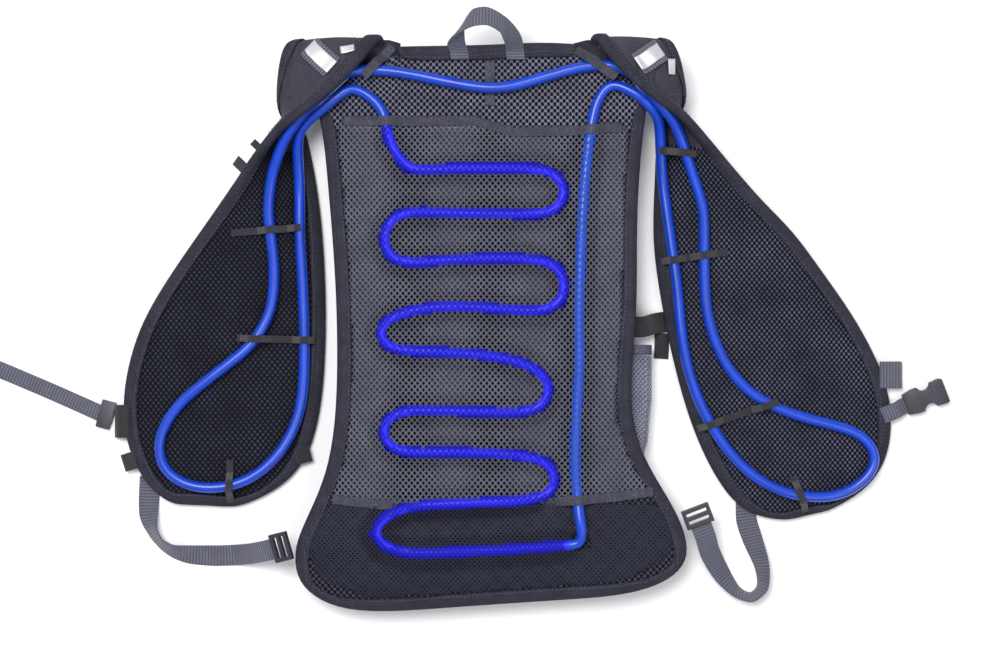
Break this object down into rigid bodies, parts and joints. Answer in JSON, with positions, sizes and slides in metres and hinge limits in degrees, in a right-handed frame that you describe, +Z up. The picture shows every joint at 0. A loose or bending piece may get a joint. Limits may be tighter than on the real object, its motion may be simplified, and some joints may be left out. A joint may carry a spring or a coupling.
{
  "type": "cooling vest",
  "caption": "Water-circulating cooling vest of the backpack form, lying open on its pack, with a hose circuit over mesh back and chest panels.",
  "frame": {"origin": "centre of the pack's flat outer face, on the surface that the vest lies on", "axes": "+Z up from that surface, towards the body-facing side; +X across to the side pocket; +Y towards the handle"},
  "size_m": [0.9272, 0.5433, 0.0827],
  "materials": {
    "spacer_mesh": "knitted polyester spacer mesh, charcoal",
    "binding_tape": "folded woven polyester tape, dark grey",
    "hose_blue": "soft blue hose, smooth and glossy",
    "keeper_tape": "narrow black grosgrain tape",
    "cover_net": "open knitted net, dark grey",
    "seam_tape": "thin woven tape, dark grey",
    "pack_fabric": "coated woven polyester, charcoal",
    "pocket_mesh": "open stretch mesh, dark grey",
    "webbing_grey": "ribbed polypropylene webbing, dark grey",
    "webbing_black": "ribbed polypropylene webbing, black",
    "reflective_tape": "silver reflective tape",
    "plastic_grey": "moulded acetal, dark grey"
  },
  "bodies": {
    "root": {"back_panel": "spacer_mesh", "chest_panel_left": "spacer_mesh", "chest_panel_right": "spacer_mesh", "back_binding": "binding_tape", "top_binding": "binding_tape", "chest_binding_left": "binding_tape", "chest_binding_right": "binding_tape", "side_pocket_hem": "binding_tape", "edge_tag_left": "binding_tape", "edge_tab_left": "binding_tape", "lower_tab_left": "binding_tape", "panel_tab_left": "binding_tape", "cooling_hose": "hose_blue", "keeper_top_left": "keeper_tape", "keeper_top_right": "keeper_tape", "keeper_loop_right": "keeper_tape", "keeper_upper_left": "keeper_tape", "keeper_upper_right": "keeper_tape", "keeper_middle_left": "keeper_tape", "keeper_middle_right": "keeper_tape", "keeper_lower_left": "keeper_tape", "keeper_lower_right": "keeper_tape", "cover_net": "cover_net", "lumbar_net": "cover_net", "upper_tape": "seam_tape", "lower_tape": "seam_tape", "centre_tape": "seam_tape", "pack_bag": "pack_fabric", "side_pocket": "pocket_mesh", "handle": "webbing_grey", "shoulder_band_left": "webbing_grey", "shoulder_band_right": "webbing_grey", "sternum_strap_left": "webbing_grey", "sternum_stub_right": "webbing_grey", "webbing_loop_right": "webbing_grey", "side_strap_left": "webbing_grey", "side_strap_right": "webbing_grey", "sternum_anchor_left": "webbing_black", "compression_strap": "webbing_black", "compression_tail": "webbing_black", "reflective_strip_left": "reflective_tape", "reflective_strip_right": "reflective_tape", "reflective_end_left": "reflective_tape", "reflective_end_right": "reflective_tape", "male_buckle": "plastic_grey", "female_buckle": "plastic_grey", "sternum_slider": "plastic_grey", "ladder_lock_left": "plastic_grey", "ladder_lock_right": "plastic_grey"}
  },
  "joints": []
}
